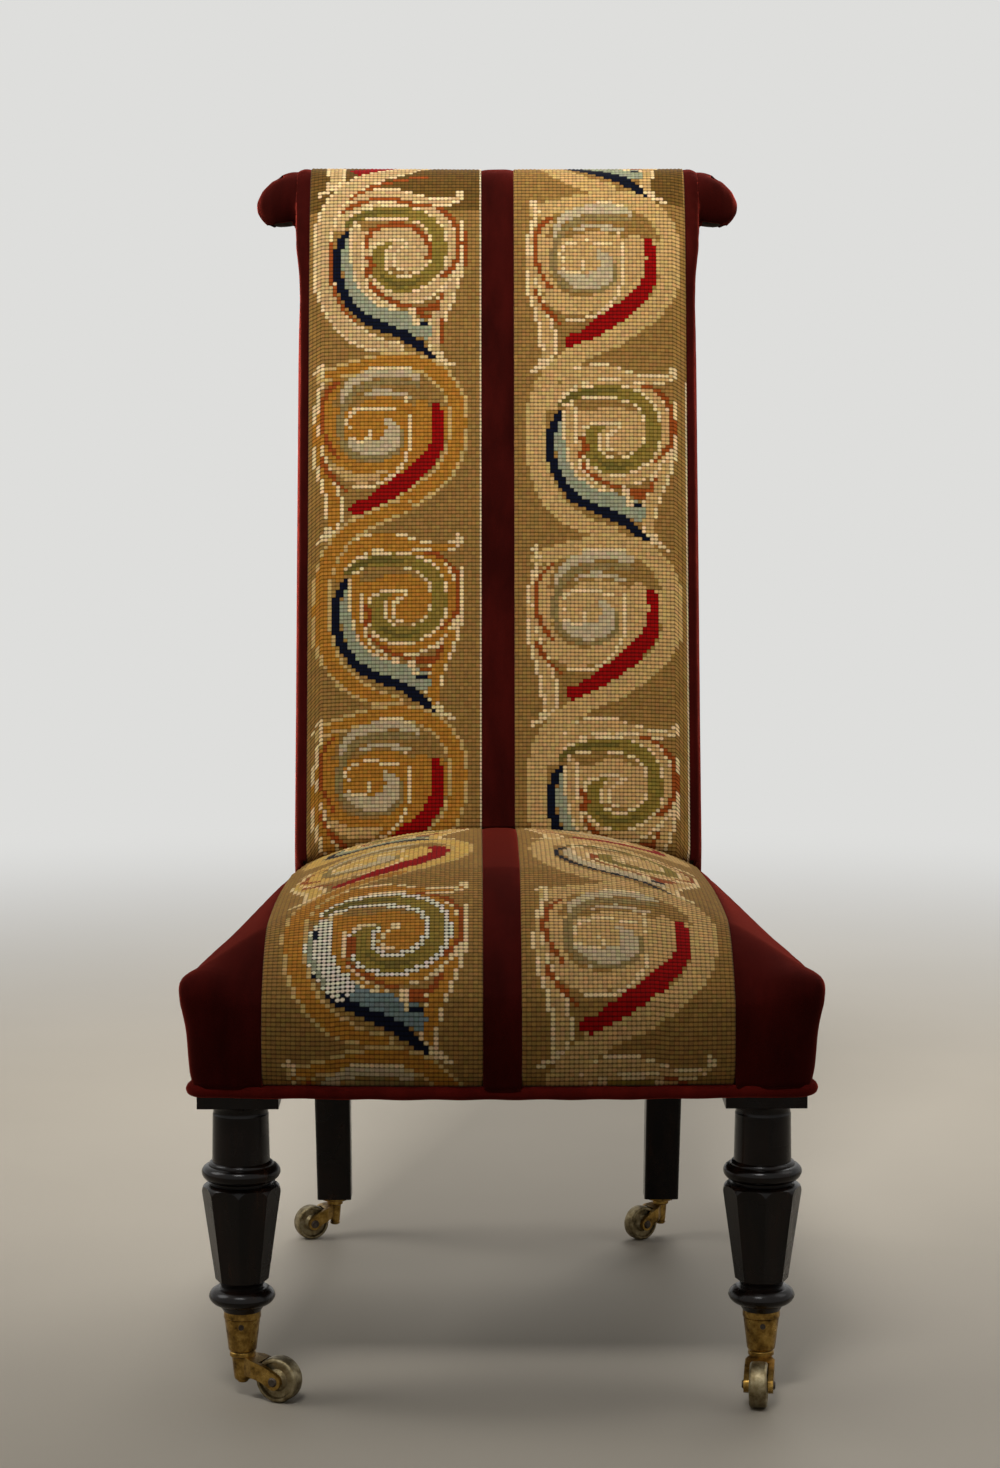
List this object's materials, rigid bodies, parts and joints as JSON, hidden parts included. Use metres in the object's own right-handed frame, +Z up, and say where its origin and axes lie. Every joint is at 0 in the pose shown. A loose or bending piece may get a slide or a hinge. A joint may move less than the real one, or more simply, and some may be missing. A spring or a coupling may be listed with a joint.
{
  "type": "sewing chair",
  "caption": "Low upholstered sewing chair with a tall back, rolled crest, domed sprung seat, turned front legs and swivelling brass casters.",
  "frame": {"origin": "on the floor under the middle of the chair's outline", "axes": "+Z up, the chair faces -Y, +X to the right as seen from the front"},
  "size_m": [0.4962, 0.6583, 1.011],
  "materials": {
    "dark_wood": "polished dark rosewood",
    "frame_wood": "unfinished beech",
    "needlework": "wool needlework on canvas, olive ground with scrolls",
    "velvet": "burgundy velvet",
    "webbing": "jute webbing",
    "hessian": "hessian",
    "stuffing": "horsehair under cotton wadding",
    "black_cloth": "black bottom cloth",
    "brass": "aged brass",
    "steel": "dull steel"
  },
  "bodies": {
    "chair": {"back_hessian": "hessian", "back_needlework_left": "needlework", "back_needlework_right": "needlework", "back_post_left": "dark_wood", "back_post_right": "dark_wood", "back_rail_lower": "frame_wood", "back_stuffing": "stuffing", "back_velvet_centre": "velvet", "back_velvet_left": "velvet", "back_velvet_right": "velvet", "back_webbing": "webbing", "bottom_cloth": "black_cloth", "caster_cup_left": "brass", "caster_cup_right": "brass", "caster_front_left_pivot": "steel", "caster_front_right_pivot": "steel", "caster_plate_left": "brass", "caster_plate_right": "brass", "caster_rear_left_pivot": "steel", "caster_rear_right_pivot": "steel", "caster_screws": "steel", "corner_block_front_left": "frame_wood", "corner_block_front_right": "frame_wood", "corner_block_rear_left": "frame_wood", "corner_block_rear_right": "frame_wood", "corner_block_screws": "steel", "crest_cap_left": "velvet", "crest_cap_right": "velvet", "crest_dowels": "frame_wood", "crest_rail": "frame_wood", "front_leg_left": "dark_wood", "front_leg_right": "dark_wood", "outside_back": "velvet", "seat_hessian": "hessian", "seat_needlework_left": "needlework", "seat_needlework_right": "needlework", "seat_piping": "velvet", "seat_rail_front": "frame_wood", "seat_rail_left": "frame_wood", "seat_rail_rear": "frame_wood", "seat_rail_right": "frame_wood", "seat_springs": "steel", "seat_stuffing": "stuffing", "seat_velvet_centre": "velvet", "seat_velvet_left": "velvet", "seat_velvet_right": "velvet", "seat_webbing_cross": "webbing", "seat_webbing_long": "webbing"},
    "caster_front_left": {"caster_front_left_fork": "brass", "caster_front_left_axle": "steel"},
    "wheel_front_left": {"caster_front_left_wheel": "brass"},
    "caster_front_right": {"caster_front_right_fork": "brass", "caster_front_right_axle": "steel"},
    "wheel_front_right": {"caster_front_right_wheel": "brass"},
    "caster_rear_left": {"caster_rear_left_fork": "brass", "caster_rear_left_axle": "steel"},
    "wheel_rear_left": {"caster_rear_left_wheel": "brass"},
    "caster_rear_right": {"caster_rear_right_fork": "brass", "caster_rear_right_axle": "steel"},
    "wheel_rear_right": {"caster_rear_right_wheel": "brass"}
  },
  "joints": [
    {"name": "swivel_front_left", "type": "hinge", "parent": "chair", "child": "caster_front_left", "pos_m": [-0.207, -0.273, 0], "axis": [0, 0, 1], "continuous": true},
    {"name": "roll_front_left", "type": "hinge", "parent": "caster_front_left", "child": "wheel_front_left", "pos_m": [-0.17709, -0.28695, 0.01825], "axis": [0.4226, 0.9063, 0], "continuous": true},
    {"name": "swivel_front_right", "type": "hinge", "parent": "chair", "child": "caster_front_right", "pos_m": [0.207, -0.273, 0], "axis": [0, 0, 1], "continuous": true},
    {"name": "roll_front_right", "type": "hinge", "parent": "caster_front_right", "child": "wheel_front_right", "pos_m": [0.20241, -0.30568, 0.01825], "axis": [0.9903, -0.1392, 0], "continuous": true},
    {"name": "swivel_rear_left", "type": "hinge", "parent": "chair", "child": "caster_rear_left", "pos_m": [-0.155, 0.222, 0], "axis": [0, 0, 1], "continuous": true},
    {"name": "roll_rear_left", "type": "hinge", "parent": "caster_rear_left", "child": "wheel_rear_left", "pos_m": [-0.17709, 0.21262, 0.016], "axis": [0.3907, -0.9205, 0], "continuous": true},
    {"name": "swivel_rear_right", "type": "hinge", "parent": "chair", "child": "caster_rear_right", "pos_m": [0.155, 0.222, 0], "axis": [0, 0, 1], "continuous": true},
    {"name": "roll_rear_right", "type": "hinge", "parent": "caster_rear_right", "child": "wheel_rear_right", "pos_m": [0.13534, 0.20823, 0.016], "axis": [0.5736, -0.8192, 0], "continuous": true}
  ]
}
